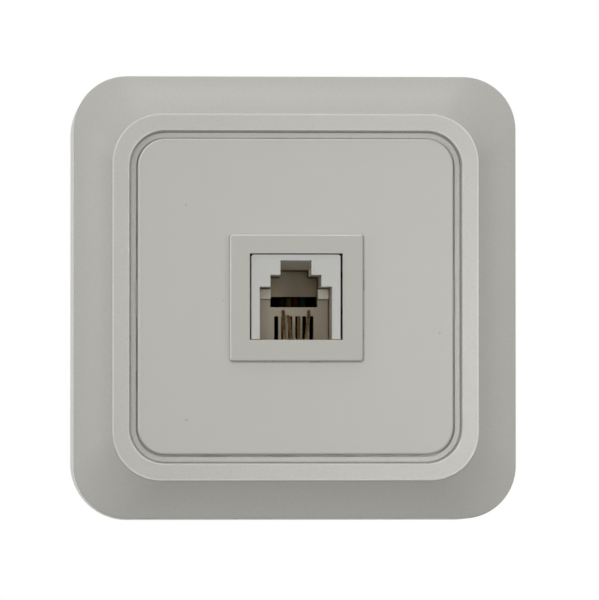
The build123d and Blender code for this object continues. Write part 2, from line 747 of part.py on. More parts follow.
# Countersunk screws that hold the frame, under the panel
with BuildPart() as cover_screws:
    with BuildSketch(front(lug_face)):
        with GridLocations(0, cover_screw_spacing, 1, 2):
            Circle(cover_head_radius)
    extrude(amount=cover_shank_radius - cover_head_radius, taper=45)
    with BuildSketch(front(lug_face)):
        with GridLocations(0, cover_screw_spacing, 1, 2):
            Circle(cover_shank_radius)
    extrude(amount=-cover_screw_length)
    with BuildSketch(front(lug_face)):
        with GridLocations(0, cover_screw_spacing, 1, 2):
            Rectangle(2 * cover_head_radius, slot_width)
    extrude(amount=-slot_depth, mode=Mode.SUBTRACT)
cover_screws.part.label = "cover_screws"
export_step(cover_screws.part, "parts/cover_screws.step")
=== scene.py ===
# %% [markdown]
# # Telephone wall socket
#
# A square socket for the surface of a wall: a frame with a hollow-curved flange, a panel that snaps into
# it, and a stepped telephone jack in the panel's window. This lesson dresses the construction model.
# Every solid is already in its place and at its real size, in metres, with +Z up, the wall at Y = 0 and
# the front facing -Y. Left to do are the light, the finishes and the fine form.

# %% Load the construction model
import math

import bmesh
import bpy
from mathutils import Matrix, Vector


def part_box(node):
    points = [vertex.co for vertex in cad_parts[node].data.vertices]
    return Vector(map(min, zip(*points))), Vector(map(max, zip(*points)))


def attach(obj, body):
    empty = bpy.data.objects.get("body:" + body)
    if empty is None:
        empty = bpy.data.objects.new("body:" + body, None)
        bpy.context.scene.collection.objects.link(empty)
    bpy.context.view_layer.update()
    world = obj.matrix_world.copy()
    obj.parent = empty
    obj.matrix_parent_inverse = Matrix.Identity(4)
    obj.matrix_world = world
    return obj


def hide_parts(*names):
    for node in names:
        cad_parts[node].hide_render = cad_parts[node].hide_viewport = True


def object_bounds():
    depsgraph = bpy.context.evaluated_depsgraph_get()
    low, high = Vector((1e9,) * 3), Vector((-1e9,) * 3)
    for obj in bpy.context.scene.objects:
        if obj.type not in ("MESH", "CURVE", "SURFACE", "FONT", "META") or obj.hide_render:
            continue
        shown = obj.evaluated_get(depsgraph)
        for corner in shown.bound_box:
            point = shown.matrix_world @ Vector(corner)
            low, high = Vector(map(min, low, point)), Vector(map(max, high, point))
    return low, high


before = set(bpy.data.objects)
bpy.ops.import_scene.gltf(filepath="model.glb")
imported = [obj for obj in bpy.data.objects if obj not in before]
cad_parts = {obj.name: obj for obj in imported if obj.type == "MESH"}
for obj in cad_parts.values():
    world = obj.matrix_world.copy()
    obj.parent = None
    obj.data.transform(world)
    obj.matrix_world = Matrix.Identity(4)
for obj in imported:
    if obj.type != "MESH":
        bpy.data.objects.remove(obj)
cad_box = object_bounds()
node_names = sorted(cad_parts)
print(len(node_names), "nodes:", ", ".join(node_names))

# %% [markdown]
# ## Camera
#
# The photograph is a close product shot taken almost square on, from a little left of the middle and a
# little below it. A long lens keeps the sides nearly parallel. The distance, the two angles and the lens
# were worked out from the outline, rim and window and their sizes in the construction model. The camera
# is made first, so that every later step can be judged in the photograph's own frame.

# %% Camera
mm = 0.001
image_width = 599
image_height = 600
sensor_size = 36.0
focal_pixels = 4543.5
camera_distance = 0.65
camera_azimuth = math.radians(-2.166)
camera_elevation = math.radians(-1.123)
aim = Vector((0.0, -21.75 * mm, 0.1 * mm))
aim_pixel_x = 296.0
aim_pixel_y = 296.3


def direction(azimuth, elevation):
    """Unit vector from the object to a viewer or lamp. Azimuth 0 is straight in front, towards -Y."""
    level = math.cos(elevation)
    return Vector((math.sin(azimuth) * level, -math.cos(azimuth) * level, math.sin(elevation)))


camera_data = bpy.data.cameras.new("camera")
camera_data.sensor_width = sensor_size
camera_data.lens = focal_pixels * sensor_size / image_height
camera_data.shift_x = (image_width / 2 - aim_pixel_x) / image_height
camera_data.shift_y = (aim_pixel_y - image_height / 2) / image_height
camera_data.clip_start = 0.01
camera = bpy.data.objects.new("camera", camera_data)
view_back = direction(camera_azimuth, camera_elevation)
camera.location = aim + view_back * camera_distance
camera.rotation_euler = (-view_back).to_track_quat("-Z", "Y").to_euler()
bpy.context.scene.collection.objects.link(camera)
bpy.context.scene.camera = camera
shift = (round(camera_data.shift_x, 4), round(camera_data.shift_y, 4))
print("lens", round(camera_data.lens, 1), "mm, shift", shift)

# %% [markdown]
# ## Light
#
# The flat faces in the photograph get a little brighter towards the right and the bottom, and the rim does
# so most. That is taken for sheen, from soft lamps near the camera, a little to the right and below. The
# shading is different: walls that face left and up are the brighter ones, so the broad light comes from the
# front, the left and above. Here the two are set apart, which only a render can do: some lamps light but
# give no reflection, and the others are seen in reflections only. Their powers were fitted to the photograph.
#
# The world is white to the camera and to reflections and a dark grey to everything else, so the background
# is white and lights the object only a little.

# %% Helpers for colours and node trees
scene = bpy.context.scene
scene.view_settings.view_transform = "Standard"


def colour(red, green, blue):
    """A colour given as it looks on screen, 0 to 255, as the linear values that shaders take."""
    linear = []
    for value in (red, green, blue):
        share = value / 255
        linear.append(share / 12.92 if share <= 0.04045 else ((share + 0.055) / 1.055) ** 2.4)
    return (*linear, 1.0)


def add(tree, kind, **settings):
    """A new node of a tree, with its settings."""
    node = tree.nodes.new(kind)
    for setting, value in settings.items():
        setattr(node, setting, value)
    return node


def feed(tree, target, value):
    """Gives a socket its value, which is either another node's output or a plain number or colour."""
    if isinstance(value, bpy.types.NodeSocket):
        tree.links.new(value, target)
    else:
        target.default_value = value


def make(tree, kind, values, **settings):
    """A new node with its inputs fed by name or number. Returns its first output."""
    node = add(tree, kind, **settings)
    for socket, value in values.items():
        feed(tree, node.inputs[socket], value)
    return node.outputs[0]


def calculate(tree, operation, *values):
    """One step of arithmetic as a Math node."""
    return make(tree, "ShaderNodeMath", dict(enumerate(values)), operation=operation)


def seen_directly(tree):
    """1 for camera, mirror and glass rays, and 0 for the rays that carry light between surfaces."""
    path = add(tree, "ShaderNodeLightPath")
    first = calculate(tree, "MAXIMUM", path.outputs["Is Camera Ray"], path.outputs["Is Glossy Ray"])
    return calculate(tree, "MAXIMUM", first, path.outputs["Is Transmission Ray"])


def split_by_ray(tree, for_light, for_view, output_kind):
    """Gives one shader to the light that bounces and the other to what the camera and mirrors see."""
    mixed = make(tree, "ShaderNodeMixShader", {0: seen_directly(tree), 1: for_light, 2: for_view})
    feed(tree, add(tree, output_kind).inputs["Surface"], mixed)


print("helpers ready, view transform", scene.view_settings.view_transform)

# %% World
ambient_level = 0.16
white = (1.0, 1.0, 1.0, 1.0)
world = bpy.data.worlds.new("studio")
scene.world = world
world.use_nodes = True
sky = world.node_tree
sky.nodes.clear()
sky_plain = make(sky, "ShaderNodeBackground", {"Color": white, "Strength": ambient_level})
sky_white = make(sky, "ShaderNodeBackground", {"Color": white, "Strength": 1.0})
split_by_ray(sky, sky_plain, sky_white, "ShaderNodeOutputWorld")
print("world level", ambient_level)

# %% Lamps
# Name, azimuth and elevation in degrees, distance and size in metres, power in watts
light_lamps = (
    ("front_light", -4, 2, 0.8, 0.3, 2.7),
    ("left_front_light", -22, 8, 0.8, 0.4, 0.6),
    ("left_light", -72, 5, 0.6, 0.35, 0.65),
    ("right_light", 45, 6, 0.7, 0.4, 0.7),
    ("top_light", -5, 78, 0.5, 0.4, 0.84),
    ("back_light", 172, 30, 1.2, 0.6, 13.0),
)
sheen_lamps = (
    ("front_sheen", 9, -5, 0.5, 0.2, 0.6),
    ("right_sheen", 13, -9, 0.4, 0.12, 0.34),
    ("lower_sheen", 5, -12, 0.4, 0.12, 0.78),
    ("top_edge_sheen", 0, 58, 0.6, 0.25, 0.15),
    ("left_edge_sheen", -62, 8, 0.6, 0.25, 0.15),
    ("right_edge_sheen", 62, 8, 0.6, 0.25, 0.1),
)


def add_lamp(lamp_name, azimuth, elevation, distance, size, power):
    """A soft round lamp that points at the middle of the socket."""
    lamp_data = bpy.data.lights.new(lamp_name, "AREA")
    lamp_data.shape = "DISK"
    lamp_data.size = size
    lamp_data.energy = power
    lamp = bpy.data.objects.new(lamp_name, lamp_data)
    towards = direction(math.radians(azimuth), math.radians(elevation))
    lamp.location = aim + towards * distance
    lamp.rotation_euler = (-towards).to_track_quat("-Z", "Y").to_euler()
    scene.collection.objects.link(lamp)
    return lamp


for settings in light_lamps:
    add_lamp(*settings).visible_glossy = False
for settings in sheen_lamps:
    add_lamp(*settings).visible_diffuse = False
print(len(light_lamps), "lamps that light,", len(sheen_lamps), "that give sheen")

# %% [markdown]
# ## Floor
#
# The socket stands on a plain pale floor, on its lower edge, as it would on a shelf. The floor is white to
# the camera and to reflections, so that it meets the background without a line, and plain matt grey to the
# light that bounces, so that the underside of the frame stays in its own soft shade.

# %% Floor
floor_reach = 3.0
floor_level = cad_box[0].z
floor_mesh = bpy.data.meshes.new("floor")
floor_sides = ((-1, -1), (1, -1), (1, 1), (-1, 1))
floor_corners = [(x * floor_reach, y * floor_reach, floor_level) for x, y in floor_sides]
floor_mesh.from_pydata(floor_corners, [], [(0, 1, 2, 3)])
floor = bpy.data.objects.new("floor", floor_mesh)
scene.collection.objects.link(floor)

floor_grey = 0.3
floor_finish = bpy.data.materials.new("floor_finish")
floor_finish.use_nodes = True
tree = floor_finish.node_tree
tree.nodes.clear()
floor_matt = make(tree, "ShaderNodeBsdfDiffuse", {"Color": (floor_grey, floor_grey, floor_grey, 1.0)})
floor_white = make(tree, "ShaderNodeEmission", {"Strength": 1.0})
split_by_ray(tree, floor_matt, floor_white, "ShaderNodeOutputMaterial")
floor_mesh.materials.append(floor_finish)
print("floor at", round(floor_level / mm, 2), "mm")

# %% [markdown]
# ## Shared effects
#
# Several finishes need the same few effects, so each effect is a node group, made once and used with
# different values. All of them read a place on the object, so they stay on the surface in every view.
#
# Moulded grain is a fine even roughness of a few thousandths of a millimetre and a much broader waviness
# where the wall shrank, which also shifts the tone a little.

# %% Group helper
def shader_group(name, inputs, outputs):
    """A node group with sockets named by kind. Returns it with what comes in and what goes out."""
    group = bpy.data.node_groups.new(name, "ShaderNodeTree")
    kinds = {"value": "NodeSocketFloat", "colour": "NodeSocketColor", "place": "NodeSocketVector"}
    for side, sockets in (("INPUT", inputs), ("OUTPUT", outputs)):
        for kind, socket_names in sockets.items():
            for socket_name in socket_names:
                group.interface.new_socket(socket_name, in_out=side, socket_type=kinds[kind])
    return group, add(group, "NodeGroupInput").outputs, add(group, "NodeGroupOutput").inputs


def use_group(tree, group, **values):
    """Puts a group into a material. A socket called Grain Size is given as grain_size."""
    node = add(tree, "ShaderNodeGroup", node_tree=group)
    for socket in node.inputs:
        key = socket.name.lower().replace(" ", "_")
        if key in values:
            feed(tree, socket, values[key])
    return node.outputs


print("group helpers ready")

# %% Helpers for places and textures
def object_place(tree):
    """The place on the object, in metres, which moves with the object."""
    return add(tree, "ShaderNodeTexCoord").outputs["Object"]


def axes_of(tree, place):
    """The X, Y and Z of a place, as three outputs."""
    axes = add(tree, "ShaderNodeSeparateXYZ")
    feed(tree, axes.inputs[0], place)
    return axes.outputs


def noise(tree, place, scale, detail):
    """A noise value between 0 and 1 over the surface."""
    return make(tree, "ShaderNodeTexNoise", {"Vector": place, "Scale": scale, "Detail": detail})


def limits(tree, value, low, high):
    """A soft step: 0 below the low limit, 1 above the high one."""
    values = {"Value": value, "From Min": low, "From Max": high}
    return make(tree, "ShaderNodeMapRange", values, interpolation_type="SMOOTHSTEP")


def blend_colours(tree, share, first, second):
    """Goes from the first colour to the second by a share between 0 and 1."""
    node = add(tree, "ShaderNodeMix", data_type="RGBA")
    feed(tree, node.inputs["Factor"], share)
    feed(tree, node.inputs[6], first)
    feed(tree, node.inputs[7], second)
    return node.outputs[2]


print("texture helpers ready")

# %% Moulded grain
moulded_grain, enter, leave = shader_group(
    "moulded_grain",
    {
        "place": ("Place",),
        "colour": ("Colour",),
        "value": ("Tone", "Roughness", "Roughness Spread", "Grain Size", "Wave Size"),
    },
    {"colour": ("Colour",), "value": ("Roughness", "Height")},
)
tree = moulded_grain
grain_scale = calculate(tree, "DIVIDE", 1.0, enter["Grain Size"])
wave_scale = calculate(tree, "DIVIDE", 1.0, enter["Wave Size"])
grain = noise(tree, enter["Place"], grain_scale, detail=3.0)
waves = noise(tree, enter["Place"], wave_scale, detail=2.0)
grain_share = 0.35
height = calculate(tree, "MULTIPLY_ADD", grain, grain_share, waves)
shift = calculate(tree, "SUBTRACT", waves, 0.5)
level = calculate(tree, "MULTIPLY_ADD", shift, enter["Tone"], 1.0)
toned = make(tree, "ShaderNodeVectorMath", {0: enter["Colour"], "Scale": level}, operation="SCALE")
drift = calculate(tree, "SUBTRACT", grain, 0.5)
rough = calculate(tree, "MULTIPLY_ADD", drift, enter["Roughness Spread"], enter["Roughness"])
feed(tree, leave["Colour"], toned)
feed(tree, leave["Roughness"], rough)
feed(tree, leave["Height"], height)
print("group", moulded_grain.name, "with", len(moulded_grain.nodes), "nodes")

# %% [markdown]
# The photograph shows faint dark specks on the plain faces, most of them one pixel wide. Here they are
# fewer, larger and darker, at places of their own. Small cells are spread over the surface, and only in a
# few of them does a dot appear, of its own size.

# %% Specks
specks, enter, leave = shader_group(
    "specks",
    {"place": ("Place",), "value": ("Spacing", "Dot Share", "Rarity")},
    {"value": ("Mask",)},
)
tree = specks
cells = add(tree, "ShaderNodeTexVoronoi", feature="F1")
feed(tree, cells.inputs["Vector"], enter["Place"])
feed(tree, cells.inputs["Scale"], calculate(tree, "DIVIDE", 1.0, enter["Spacing"]))
lottery = add(tree, "ShaderNodeSeparateColor")
feed(tree, lottery.inputs[0], cells.outputs["Color"])
chosen = calculate(tree, "GREATER_THAN", lottery.outputs["Red"], enter["Rarity"])
dot_size = calculate(tree, "MULTIPLY", enter["Dot Share"], lottery.outputs["Green"])
dot_fade = 0.04
dot = limits(tree, calculate(tree, "SUBTRACT", dot_size, cells.outputs["Distance"]), 0.0, dot_fade)
feed(tree, leave["Mask"], calculate(tree, "MULTIPLY", dot, chosen))
print("group", specks.name, "with", len(specks.nodes), "nodes")

# %% [markdown]
# The photograph shows thin brown lines along the panel's edge and at the foot of the frame's inner wall,
# which are painted here as shade in the grooves, and a thin dark line at the foot of the surround on its
# right and bottom, painted as its shadow. They may be dust, or only a fringe of colour from the camera. It
# also shows thin pale lines on proud edges, which look like highlights on small rounds: on the rim all round,
# and on the panel and the surround at the top and the left. They are painted highlights on small rounds. Both
# kinds are painted here where the photograph has them, so they stay when the light changes. Each line is a
# rounded rectangle. One group measures how far a point is from it and breaks it up a little with noise.

# %% Thin lines
edge_line, enter, leave = shader_group(
    "edge_line",
    {
        "place": ("Place",),
        "value": ("Half Width", "Half Height", "Corner", "Shift", "Rise", "Reach", "Patch Size", "Evenness"),
    },
    {"value": ("Mask",)},
)
tree = edge_line
axes = axes_of(tree, enter["Place"])
straight_x = calculate(tree, "SUBTRACT", enter["Half Width"], enter["Corner"])
straight_z = calculate(tree, "SUBTRACT", enter["Half Height"], enter["Corner"])
shifted = calculate(tree, "SUBTRACT", axes["X"], enter["Shift"])
across = calculate(tree, "SUBTRACT", calculate(tree, "ABSOLUTE", shifted), straight_x)
raised = calculate(tree, "SUBTRACT", axes["Z"], enter["Rise"])
upward = calculate(tree, "SUBTRACT", calculate(tree, "ABSOLUTE", raised), straight_z)
corner_x = calculate(tree, "MAXIMUM", across, 0.0)
corner_z = calculate(tree, "MAXIMUM", upward, 0.0)
square_x = calculate(tree, "POWER", corner_x, 2.0)
square_z = calculate(tree, "POWER", corner_z, 2.0)
outside = calculate(tree, "SQRT", calculate(tree, "ADD", square_x, square_z))
inside = calculate(tree, "MINIMUM", calculate(tree, "MAXIMUM", across, upward), 0.0)
signed = calculate(tree, "SUBTRACT", calculate(tree, "ADD", outside, inside), enter["Corner"])
apart = calculate(tree, "ABSOLUTE", signed)
within = calculate(tree, "SUBTRACT", enter["Reach"], apart)
near = limits(tree, within, 0.0, enter["Reach"])
patch_scale = calculate(tree, "DIVIDE", 1.0, enter["Patch Size"])
patches = noise(tree, enter["Place"], patch_scale, detail=3.0)
patch_from = 0.35
patch_to = 0.65
uneven = calculate(tree, "MAXIMUM", limits(tree, patches, patch_from, patch_to), enter["Evenness"])
feed(tree, leave["Mask"], calculate(tree, "MULTIPLY", near, uneven))
print("group", edge_line.name, "with", len(edge_line.nodes), "nodes")

# %% [markdown]
# In the photograph a look past the comb of the jack ends in near black, because little light gets behind it.
# The lamps here stand near the camera and shine in, so the darkness is painted: what lies behind the comb
# gets nearly black and dull. The group gives 1 inside a box round the socket's middle, between two
# distances from the wall, and fades out at its sides.

# %% Dull inside
dull_inside, enter, leave = shader_group(
    "dull_inside",
    {"place": ("Place",), "value": ("Half Width", "Half Height", "Near Wall", "From Wall")},
    {"value": ("Mask",)},
)
tree = dull_inside
fade = 0.3 * mm
axes = axes_of(tree, enter["Place"])
room_x = calculate(tree, "SUBTRACT", enter["Half Width"], calculate(tree, "ABSOLUTE", axes["X"]))
room_z = calculate(tree, "SUBTRACT", enter["Half Height"], calculate(tree, "ABSOLUTE", axes["Z"]))
depth = calculate(tree, "MULTIPLY", axes["Y"], -1.0)
room_front = calculate(tree, "SUBTRACT", enter["From Wall"], depth)
room_back = calculate(tree, "SUBTRACT", depth, enter["Near Wall"])
room_y = calculate(tree, "MINIMUM", room_front, room_back)
room = calculate(tree, "MINIMUM", calculate(tree, "MINIMUM", room_x, room_z), room_y)
feed(tree, leave["Mask"], limits(tree, room, 0.0, fade))
print("group", dull_inside.name, "with", len(dull_inside.nodes), "nodes")

# %% [markdown]
# Wire, stamped brass and plated steel carry fine lines in the direction in which they were drawn, rolled
# or turned. Noise gives them, stretched along that direction by a scale of its own for each axis.

# %% Drawn metal
drawn_metal, enter, leave = shader_group(
    "drawn_metal",
    {
        "place": ("Place", "Line Scale"),
        "colour": ("Colour", "Tarnish"),
        "value": ("Tarnish Share", "Roughness", "Roughness Spread"),
    },
    {"colour": ("Colour",), "value": ("Roughness", "Height")},
)
tree = drawn_metal
places = {0: enter["Place"], 1: enter["Line Scale"]}
stretched = make(tree, "ShaderNodeVectorMath", places, operation="MULTIPLY")
lines = noise(tree, stretched, 1.0, detail=4.0)
cloud_scale = 900.0
cloud_from = 0.4
cloud_to = 0.7
tarnish_roughness = 0.2
clouds = noise(tree, enter["Place"], cloud_scale, detail=4.0)
clouds = limits(tree, clouds, cloud_from, cloud_to)
share = calculate(tree, "MULTIPLY", clouds, enter["Tarnish Share"])
mixed = blend_colours(tree, share, enter["Colour"], enter["Tarnish"])
feed(tree, leave["Colour"], mixed)
drift = calculate(tree, "SUBTRACT", lines, 0.5)
rough = calculate(tree, "MULTIPLY_ADD", drift, enter["Roughness Spread"], enter["Roughness"])
rougher = calculate(tree, "MULTIPLY_ADD", share, tarnish_roughness, rough)
feed(tree, leave["Roughness"], rougher)
feed(tree, leave["Height"], lines)
print("group", drawn_metal.name, "with", len(drawn_metal.nodes), "nodes")

# %% [markdown]
# ## Plastic finishes
#
# The frame and the panel are one warm light grey plastic. In the photograph the frame's rim shows more sheen
# than the panel does, so it gets a lower roughness. The panel is satin, and its raised surround is a little
# matter and darker. The jack is slightly whiter, and the contact carrier inside it is warmer and browner.
# Each of these is a material of its own, made by one function from the shared groups.

# %% Plastic
# Colours for lines of painted shade in grooves, for painted highlights on proud edges, and for dust specks.
groove_shade_colour = colour(128, 116, 92)
highlight_colour = colour(232, 231, 226)
speck_colour = colour(112, 106, 94)
speck_share = 0.35


def new_finish(name):
    """A material with its node tree, its shader and the place on the object."""
    finish = bpy.data.materials.new(name)
    finish.use_nodes = True
    tree = finish.node_tree
    return finish, tree, tree.nodes["Principled BSDF"], object_place(tree)


def bump(tree, shader, height, depth):
    """Turns a height between about 0 and 1 into relief of this depth in metres."""
    relief = make(tree, "ShaderNodeBump", {"Strength": 1.0, "Distance": depth, "Height": height})
    feed(tree, shader.inputs["Normal"], relief)


def plastic(name, base, roughness, relief, grain_size=0.16 * mm, tone=0.03, speck_rarity=0.93, lines=()):
    """Moulded plastic with grain, specks and the given thin lines of painted shade and painted highlight."""
    finish, tree, shader, place = new_finish(name)
    surface = use_group(
        tree, moulded_grain, place=place, colour=base, tone=tone, roughness=roughness,
        roughness_spread=0.08, grain_size=grain_size, wave_size=7 * mm,
    )
    dots = use_group(tree, specks, place=place, spacing=2.6 * mm, dot_share=0.11, rarity=speck_rarity)
    speck_strength = calculate(tree, "MULTIPLY", dots["Mask"], speck_share)
    shade = blend_colours(tree, speck_strength, surface["Colour"], speck_colour)
    for half_width, half_height, corner, shift, rise, reach, strength, evenness, line_colour in lines:
        line = use_group(
            tree, edge_line, place=place, half_width=half_width, half_height=half_height, corner=corner,
            shift=shift, rise=rise, reach=reach, patch_size=4 * mm, evenness=evenness,
        )
        shade = blend_colours(tree, calculate(tree, "MULTIPLY", line["Mask"], strength), shade, line_colour)
    feed(tree, shader.inputs["Base Color"], shade)
    feed(tree, shader.inputs["Roughness"], surface["Roughness"])
    bump(tree, shader, surface["Height"], relief)
    return finish


print("plastic ready, specks at", speck_share)

# %% Frame, jack housing and base
panel_rise = 0.1 * mm
panel_gap = 0.15 * mm
opening_half = (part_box("centre_panel")[1].z - panel_rise) + panel_gap
opening_corner = 4.1 * mm
ledge_half = opening_half + 0.8 * mm
ledge_corner = 4.9 * mm
rim_inner_half = ledge_half + 0.25 * mm
rim_half = rim_inner_half + 2.5 * mm
rim_corner = 6.95 * mm
rim_edge = rim_half - 0.2 * mm
# The first two lines are painted shade in the grooves at the opening and the ledge, the last two painted
# highlights on the rim's inner and outer edges.
# Half width, half height, corner radius, shift along X, rise along Z, reach, strength, evenness, colour
frame_lines = (
    (opening_half, opening_half, opening_corner, 0.0, 0.0, 0.22 * mm, 0.65, 0.5, groove_shade_colour),
    (ledge_half, ledge_half, ledge_corner, 0.0, 0.0, 0.12 * mm, 0.6, 0.6, groove_shade_colour),
    (rim_inner_half, rim_inner_half, ledge_corner, 0.0, 0.0, 0.2 * mm, 0.7, 0.8, highlight_colour),
    (rim_edge, rim_edge, rim_corner, 0.0, 0.0, 0.2 * mm, 0.75, 0.8, highlight_colour),
)
# Name, colour, roughness, depth of the relief in metres
frame_finish = plastic("frame_finish", colour(189, 188, 182), 0.28, 2.5e-6, lines=frame_lines)
jack_finish = plastic("jack_finish", colour(190, 190, 185), 0.4, 2e-6, tone=0.02, speck_rarity=0.98)
base_finish = plastic("base_finish", colour(184, 183, 176), 0.5, 6e-6, grain_size=0.3 * mm)
print("plastics:", frame_finish.name, jack_finish.name, base_finish.name)

# %% [markdown]
# Some finishes change with depth: inside the jack, and on the panel's raised surround. A share that goes
# from 0 to 1 between two distances from the wall blends one colour into another.

# %% Depth
def depth_share(tree, near_wall, far_from_wall):
    """0 at the first distance from the wall and 1 at the second, in metres."""
    from_wall = calculate(tree, "MULTIPLY", axes_of(tree, object_place(tree))["Y"], -1.0)
    return limits(tree, from_wall, near_wall, far_from_wall)


def change_colour(finish, share, new_colour):
    """Blends a finish's colour towards another one."""
    tree = finish.node_tree
    target = tree.nodes["Principled BSDF"].inputs["Base Color"]
    present = target.links[0].from_socket
    feed(tree, target, blend_colours(tree, share, present, new_colour))


print("depth helpers ready")

# %% Dark inside
dark_colour = colour(7, 6, 5)


def darken(finish, mask, strength, new_roughness):
    """Turns a finish nearly black and dull where a mask is 1."""
    tree = finish.node_tree
    share = calculate(tree, "MULTIPLY", mask, strength)
    change_colour(finish, share, dark_colour)
    target = tree.nodes["Principled BSDF"].inputs["Roughness"]
    present = target.links[0].from_socket
    gap = calculate(tree, "SUBTRACT", new_roughness, present)
    feed(tree, target, calculate(tree, "MULTIPLY_ADD", gap, mask, present))


def inside_jack(finish):
    """The mask of the room behind the jack's comb, for one finish."""
    tree = finish.node_tree
    return use_group(
        tree, dull_inside, place=object_place(tree), half_width=7.6 * mm, half_height=7.6 * mm,
        near_wall=0.6 * mm, from_wall=10.9 * mm,
    )["Mask"]


print("dark colour", [round(value, 4) for value in dark_colour])

# %% [markdown]
# The contact carrier is the insert with the comb. In the photograph it gets browner and darker towards the
# back, from the pale stop blocks to the upper wall behind them, and a little darker towards the right. Here
# that is painted shade, set by place. Whether that is colour, a stain or shade can't be told, so it is
# painted by place.

# %% Contact carrier
stops_face = 15.25 * mm
comb_face = 13.25 * mm
upper_wall_face = 11.25 * mm
margin = 0.05 * mm
# Painted shade: the comb and the upper wall behind it get darker and browner with depth, the wall most on the
# right.
comb_shade_colour = colour(164, 156, 138)
upper_wall_shade_left = colour(141, 127, 98)
upper_wall_shade_right = colour(85, 73, 50)
right_shade_colour = colour(90, 78, 56)
right_shade_strength = 0.4
carrier_finish = plastic("carrier_finish", colour(188, 182, 168), 0.5, 3e-6, tone=0.05)
tree = carrier_finish.node_tree
change_colour(carrier_finish, depth_share(tree, stops_face - margin, comb_face + margin), comb_shade_colour)
across = axes_of(tree, object_place(tree))["X"]
from_left = limits(tree, across, -3.8 * mm, 0.2 * mm)
back_wall_shade = blend_colours(tree, from_left, upper_wall_shade_left, upper_wall_shade_right)
change_colour(carrier_finish, depth_share(tree, comb_face - margin, upper_wall_face + margin), back_wall_shade)
# Painted shade: a little darker towards the right behind the stops.
right_side = limits(tree, across, -3.5 * mm, 4.5 * mm)
behind_stops = depth_share(tree, comb_face + 1.35 * mm, comb_face + 0.15 * mm)
right_shade_share = calculate(tree, "MULTIPLY", right_side, behind_stops)
change_colour(carrier_finish, calculate(tree, "MULTIPLY", right_shade_share, right_shade_strength), right_shade_colour)
print("carrier finish", len(tree.nodes), "nodes")

# %% [markdown]
# The jack housing has a thin pale lip round its mouth, a painted highlight, and a warmer tint inside, painted
# as warm light bounced in the mouth. The jack housing has a thin pale lip round its mouth in the photograph,
# most likely a highlight, and looks warmer inside. Both are set by depth. Then all that lies behind the comb
# gets painted shade.

# %% Jack housing
jack_face = 21.75 * mm
# Painted light: a warmer tint inside the mouth for bounced light, and a painted highlight as a pale lip.
mouth_bounce_colour = colour(200, 192, 175)
lip_highlight_colour = colour(236, 228, 212)
lip_highlight_strength = 0.8
tree = jack_finish.node_tree
change_colour(jack_finish, depth_share(tree, jack_face - 0.1 * mm, jack_face - 3.5 * mm), mouth_bounce_colour)
lip_front = depth_share(tree, jack_face - 0.02 * mm, jack_face - 0.08 * mm)
lip_back = depth_share(tree, jack_face - 0.4 * mm, jack_face - 0.25 * mm)
lip_highlight = calculate(tree, "MULTIPLY", lip_front, lip_back)
change_colour(jack_finish, calculate(tree, "MULTIPLY", lip_highlight, lip_highlight_strength), lip_highlight_colour)
# Painted shade behind the comb.
for finish in (carrier_finish, jack_finish, base_finish):
    darken(finish, inside_jack(finish), strength=0.97, new_roughness=0.95)
base_finish.node_tree.nodes["Principled BSDF"].inputs["Specular IOR Level"].default_value = 0.2
print("jack finish", len(tree.nodes), "nodes")

# %% [markdown]
# The panel and its raised surround are one moulding, so one material serves both. The surround's painted
# highlight line comes last, over its own colour, and only on its face.

# %% Panel finish
surround_half_width = 9.55 * mm
surround_half_height = 9.075 * mm
surround_corner = 0.45 * mm
surround_rise = panel_rise - 0.18 * mm
surround_shift = 0.04 * mm
panel_half = opening_half - panel_gap
panel_corner = 3.95 * mm
panel_highlight_shift = 0.22 * mm
panel_highlight_half = panel_half + 0.07 * mm
surround_shadow_shift = 0.12 * mm
surround_shadow_colour = colour(108, 100, 84)
highlight_shift = 0.19 * mm
highlight_margin = 0.05 * mm
# A line that is shifted right and down shows on two sides only. On the others it leaves the panel, or the
# surround's colour covers it.
# The first line is painted shade in the groove round the panel, the second a painted highlight on the panel's
# top and left edges, the third the surround's painted shadow on its right and bottom.
panel_lines = (
    (panel_half, panel_half, panel_corner, 0.0, panel_rise, 0.08 * mm, 0.35, 0.5, groove_shade_colour),
    (
        panel_highlight_half, panel_highlight_half, panel_corner,
        panel_highlight_shift, panel_rise - panel_highlight_shift, 0.2 * mm, 0.85, 0.8, highlight_colour,
    ),
    (
        surround_half_width, surround_half_height, surround_corner,
        surround_shift + surround_shadow_shift, surround_rise - surround_shadow_shift, 0.26 * mm, 1.0, 0.7, surround_shadow_colour,
    ),
)
panel_finish = plastic("panel_finish", colour(189, 188, 182), 0.36, 3e-6, lines=panel_lines)
tree = panel_finish.node_tree
panel_face = 21.2 * mm
surround = depth_share(tree, panel_face + 0.2 * mm, panel_face + 0.5 * mm)
change_colour(panel_finish, surround, colour(187, 186, 178))
# The surround's painted highlight, on its top and left edges.
surround_highlight = use_group(
    tree, edge_line, place=object_place(tree), half_width=surround_half_width + highlight_margin,
    half_height=surround_half_height + highlight_margin, corner=surround_corner,
    shift=surround_shift + highlight_shift, rise=surround_rise - highlight_shift, reach=0.16 * mm, patch_size=4 * mm,
    evenness=0.8,
)["Mask"]
change_colour(panel_finish, calculate(tree, "MULTIPLY", surround_highlight, surround), highlight_colour)
rough_socket = tree.nodes["Principled BSDF"].inputs["Roughness"]
rough = rough_socket.links[0].from_socket
matter_by = 0.08
feed(tree, rough_socket, calculate(tree, "MULTIPLY_ADD", surround, matter_by, rough))
print("panel finish", len(tree.nodes), "nodes")

# %% [markdown]
# ## Metal and lead finishes
#
# The contacts look like drawn bronze wire with a thin, dull gold plating. The photograph hides the other
# metal parts, so they get the metals usual for them: stamped brass for the terminal plates, zinc-plated steel
# for washers and screws, tinned brass for the fork ends. The leads' insulation is soft plastic in the four
# usual telephone colours, of which yellow and red show in the photograph.

